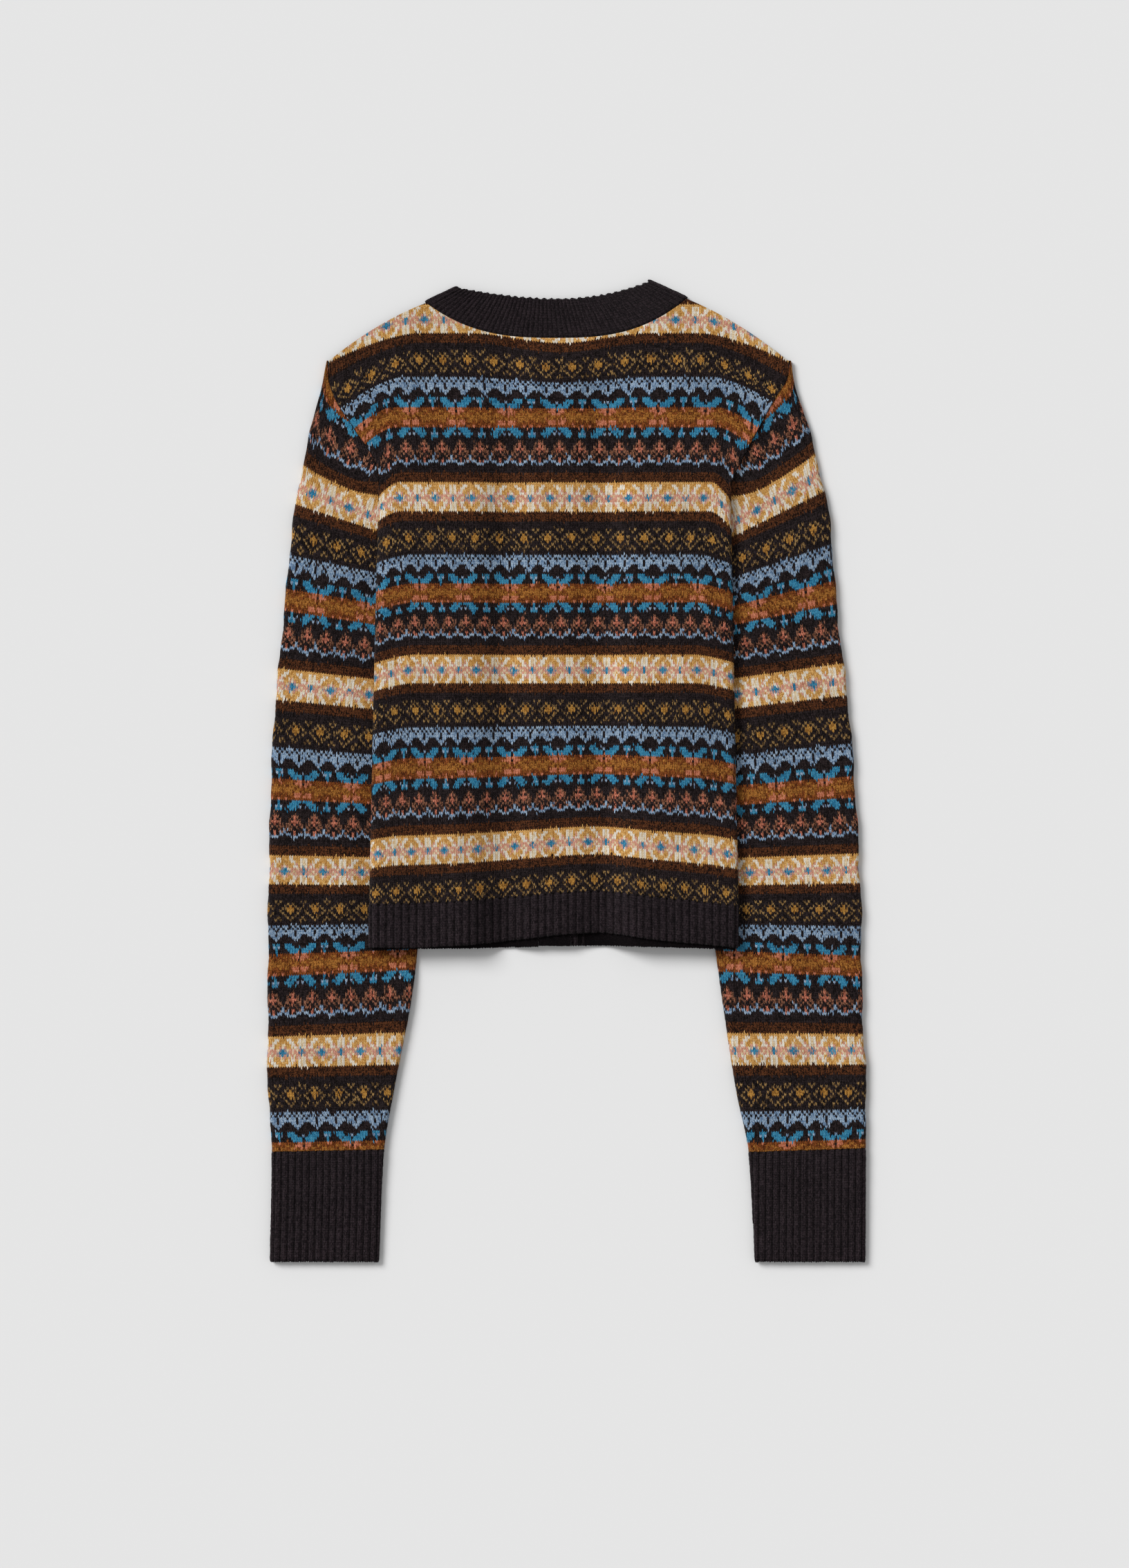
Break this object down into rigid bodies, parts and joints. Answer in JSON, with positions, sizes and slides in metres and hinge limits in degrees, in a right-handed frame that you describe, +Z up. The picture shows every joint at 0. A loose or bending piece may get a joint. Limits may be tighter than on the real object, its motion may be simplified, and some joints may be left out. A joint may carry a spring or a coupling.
{
  "type": "wool cardigan lying flat",
  "caption": "Cropped round-neck cardigan in banded stranded knit with dark ribs, lying face down with its sides folded under and its sleeves straight down.",
  "frame": {"origin": "centre of the garment's footprint, on the surface it lies on", "axes": "+Z up, +Y towards the neckband, +X towards the wearer's right, the back of the garment facing up"},
  "size_m": [0.4598, 0.7543, 0.0169],
  "materials": {
    "patterned_knit": "stranded wool knit, lightly brushed",
    "dark_rib": "ribbed wool knit",
    "dark_button": "satin resin"
  },
  "bodies": {
    "root": {"back": "patterned_knit", "front_left": "patterned_knit", "front_right": "patterned_knit", "sleeve_left": "patterned_knit", "sleeve_right": "patterned_knit", "hem_rib_back": "dark_rib", "hem_rib_front_left": "dark_rib", "hem_rib_front_right": "dark_rib", "cuff_left": "dark_rib", "cuff_right": "dark_rib", "neckband": "dark_rib", "button_band_left": "dark_rib", "button_band_right": "dark_rib", "button_1": "dark_button", "button_2": "dark_button", "button_3": "dark_button", "button_4": "dark_button", "button_5": "dark_button", "button_6": "dark_button", "button_7": "dark_button"}
  },
  "joints": []
}
